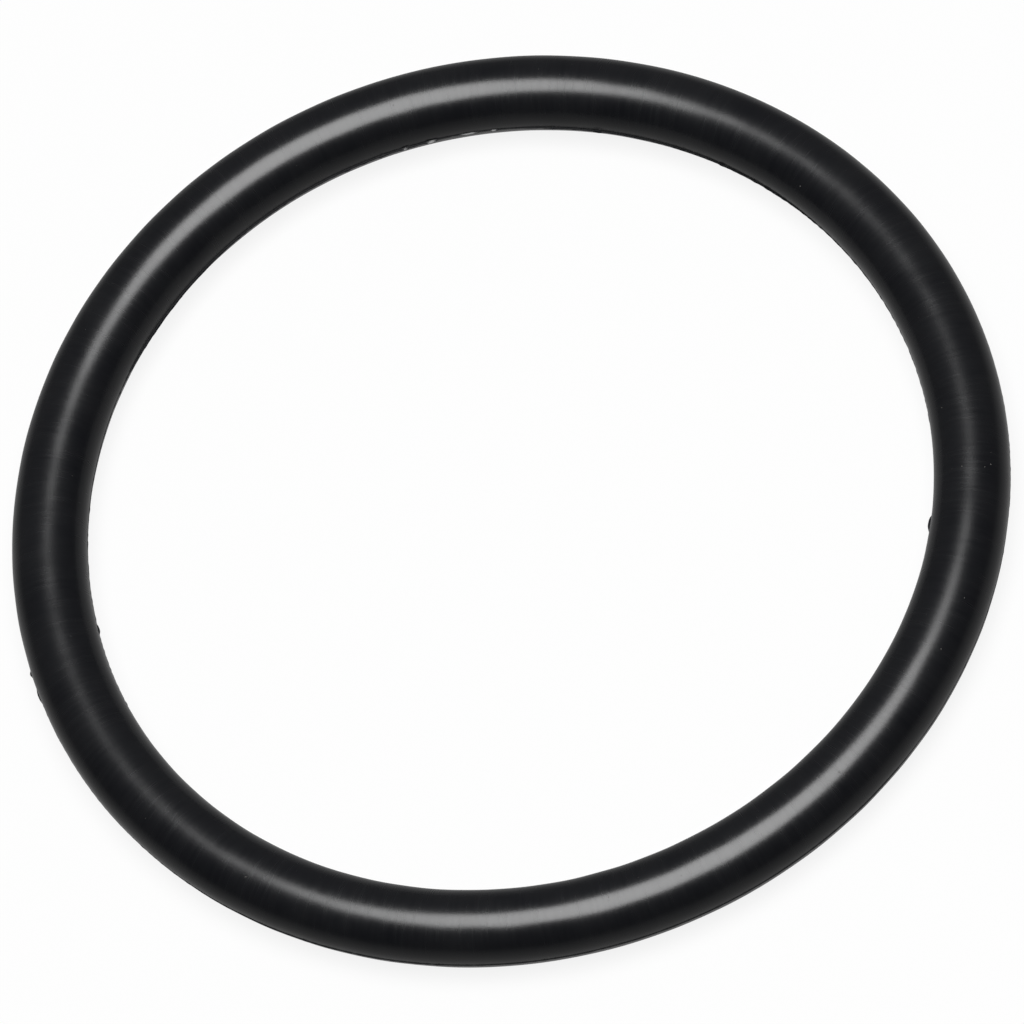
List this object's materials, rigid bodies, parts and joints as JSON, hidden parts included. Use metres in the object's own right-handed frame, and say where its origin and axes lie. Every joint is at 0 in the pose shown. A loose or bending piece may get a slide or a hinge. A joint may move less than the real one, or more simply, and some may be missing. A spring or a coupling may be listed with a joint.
{
  "type": "rubber o-ring",
  "caption": "Round-section rubber sealing ring, moulded in one piece, with thin parting-line flash around its hole and rim.",
  "frame": {"origin": "centre of the ring, at half its thickness, in the parting plane", "axes": "+Z along the ring's axis, square to the plane it lies in; +X and +Y in that plane"},
  "size_m": [0.071, 0.071, 0.0052],
  "materials": {
    "rubber": "satin"
  },
  "bodies": {
    "root": {"o_ring": "rubber"}
  },
  "joints": []
}
